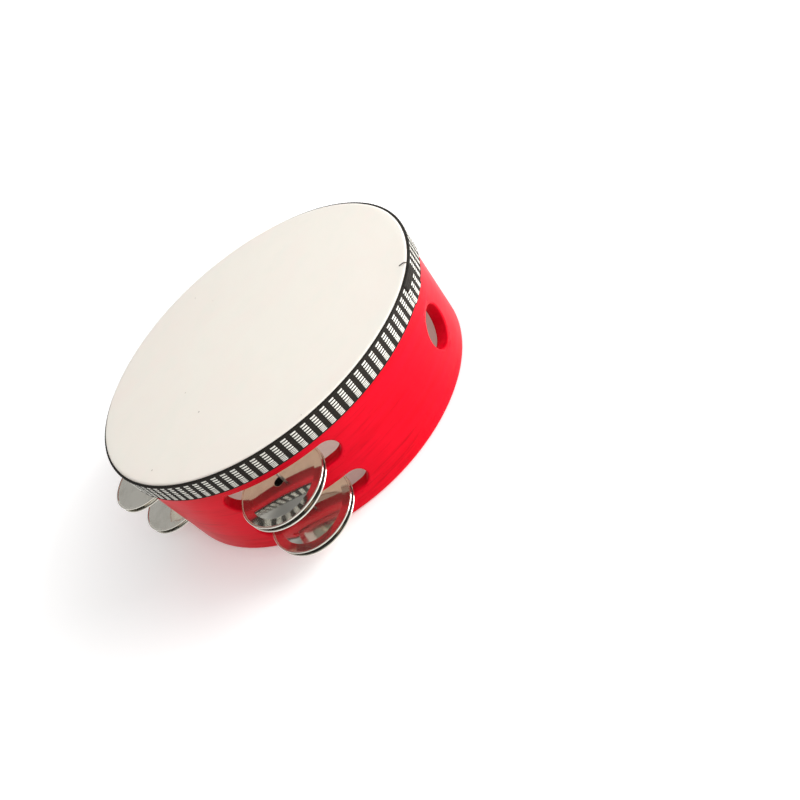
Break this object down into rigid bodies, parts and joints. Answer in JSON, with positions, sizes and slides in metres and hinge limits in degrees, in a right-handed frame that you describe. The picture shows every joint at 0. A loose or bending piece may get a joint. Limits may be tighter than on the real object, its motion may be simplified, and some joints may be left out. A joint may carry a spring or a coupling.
{
  "type": "tambourine",
  "caption": "Round hand-held tambourine: a red bent-wood hoop with a skin head, a woven trim ribbon, a thumb hole and two rows of slots with paired metal jingles.",
  "frame": {"origin": "on the hoop's axis, in the plane of its open edge, which is the face it rests on", "axes": "+Z along the hoop's axis from the open edge to the drumhead; -Y from the axis towards the thumb hole; +X completes a right-handed frame"},
  "size_m": [0.1714, 0.1531, 0.0494],
  "materials": {
    "painted_wood": "gloss red lacquer",
    "skin": "matt, slightly mottled",
    "woven_ribbon": "black with white bars",
    "jingle_nickel": "nickel plated",
    "nail_steel": "drawn wire"
  },
  "bodies": {
    "hoop": {"shell": "painted_wood", "drumhead": "skin", "trim_ribbon": "woven_ribbon", "jingle_pin_1": "nail_steel", "jingle_pin_2": "nail_steel", "jingle_pin_3": "nail_steel", "jingle_pin_4": "nail_steel"},
    "jingle_1_upper_bottom": {"jingle_1_upper_bottom": "jingle_nickel"},
    "jingle_1_upper_top": {"jingle_1_upper_top": "jingle_nickel"},
    "jingle_1_lower_bottom": {"jingle_1_lower_bottom": "jingle_nickel"},
    "jingle_1_lower_top": {"jingle_1_lower_top": "jingle_nickel"},
    "jingle_2_upper_bottom": {"jingle_2_upper_bottom": "jingle_nickel"},
    "jingle_2_upper_top": {"jingle_2_upper_top": "jingle_nickel"},
    "jingle_2_lower_bottom": {"jingle_2_lower_bottom": "jingle_nickel"},
    "jingle_2_lower_top": {"jingle_2_lower_top": "jingle_nickel"},
    "jingle_3_upper_bottom": {"jingle_3_upper_bottom": "jingle_nickel"},
    "jingle_3_upper_top": {"jingle_3_upper_top": "jingle_nickel"},
    "jingle_3_lower_bottom": {"jingle_3_lower_bottom": "jingle_nickel"},
    "jingle_3_lower_top": {"jingle_3_lower_top": "jingle_nickel"},
    "jingle_4_upper_bottom": {"jingle_4_upper_bottom": "jingle_nickel"},
    "jingle_4_upper_top": {"jingle_4_upper_top": "jingle_nickel"},
    "jingle_4_lower_bottom": {"jingle_4_lower_bottom": "jingle_nickel"},
    "jingle_4_lower_top": {"jingle_4_lower_top": "jingle_nickel"}
  },
  "joints": [
    {"name": "jingle_1_upper_bottom_lift", "type": "slide", "parent": "hoop", "child": "jingle_1_upper_bottom", "axis": [0, 0, 1], "range_m": [0, 0.002]},
    {"name": "jingle_1_upper_top_lift", "type": "slide", "parent": "jingle_1_upper_bottom", "child": "jingle_1_upper_top", "axis": [0, 0, 1], "range_m": [0, 0.002]},
    {"name": "jingle_1_lower_bottom_lift", "type": "slide", "parent": "hoop", "child": "jingle_1_lower_bottom", "axis": [0, 0, 1], "range_m": [0, 0.002]},
    {"name": "jingle_1_lower_top_lift", "type": "slide", "parent": "jingle_1_lower_bottom", "child": "jingle_1_lower_top", "axis": [0, 0, 1], "range_m": [0, 0.002]},
    {"name": "jingle_2_upper_bottom_lift", "type": "slide", "parent": "hoop", "child": "jingle_2_upper_bottom", "axis": [0, 0, 1], "range_m": [0, 0.002]},
    {"name": "jingle_2_upper_top_lift", "type": "slide", "parent": "jingle_2_upper_bottom", "child": "jingle_2_upper_top", "axis": [0, 0, 1], "range_m": [0, 0.002]},
    {"name": "jingle_2_lower_bottom_lift", "type": "slide", "parent": "hoop", "child": "jingle_2_lower_bottom", "axis": [0, 0, 1], "range_m": [0, 0.002]},
    {"name": "jingle_2_lower_top_lift", "type": "slide", "parent": "jingle_2_lower_bottom", "child": "jingle_2_lower_top", "axis": [0, 0, 1], "range_m": [0, 0.002]},
    {"name": "jingle_3_upper_bottom_lift", "type": "slide", "parent": "hoop", "child": "jingle_3_upper_bottom", "axis": [0, 0, 1], "range_m": [0, 0.002]},
    {"name": "jingle_3_upper_top_lift", "type": "slide", "parent": "jingle_3_upper_bottom", "child": "jingle_3_upper_top", "axis": [0, 0, 1], "range_m": [0, 0.002]},
    {"name": "jingle_3_lower_bottom_lift", "type": "slide", "parent": "hoop", "child": "jingle_3_lower_bottom", "axis": [0, 0, 1], "range_m": [0, 0.002]},
    {"name": "jingle_3_lower_top_lift", "type": "slide", "parent": "jingle_3_lower_bottom", "child": "jingle_3_lower_top", "axis": [0, 0, 1], "range_m": [0, 0.002]},
    {"name": "jingle_4_upper_bottom_lift", "type": "slide", "parent": "hoop", "child": "jingle_4_upper_bottom", "axis": [0, 0, 1], "range_m": [0, 0.002]},
    {"name": "jingle_4_upper_top_lift", "type": "slide", "parent": "jingle_4_upper_bottom", "child": "jingle_4_upper_top", "axis": [0, 0, 1], "range_m": [0, 0.002]},
    {"name": "jingle_4_lower_bottom_lift", "type": "slide", "parent": "hoop", "child": "jingle_4_lower_bottom", "axis": [0, 0, 1], "range_m": [0, 0.002]},
    {"name": "jingle_4_lower_top_lift", "type": "slide", "parent": "jingle_4_lower_bottom", "child": "jingle_4_lower_top", "axis": [0, 0, 1], "range_m": [0, 0.002]}
  ]
}
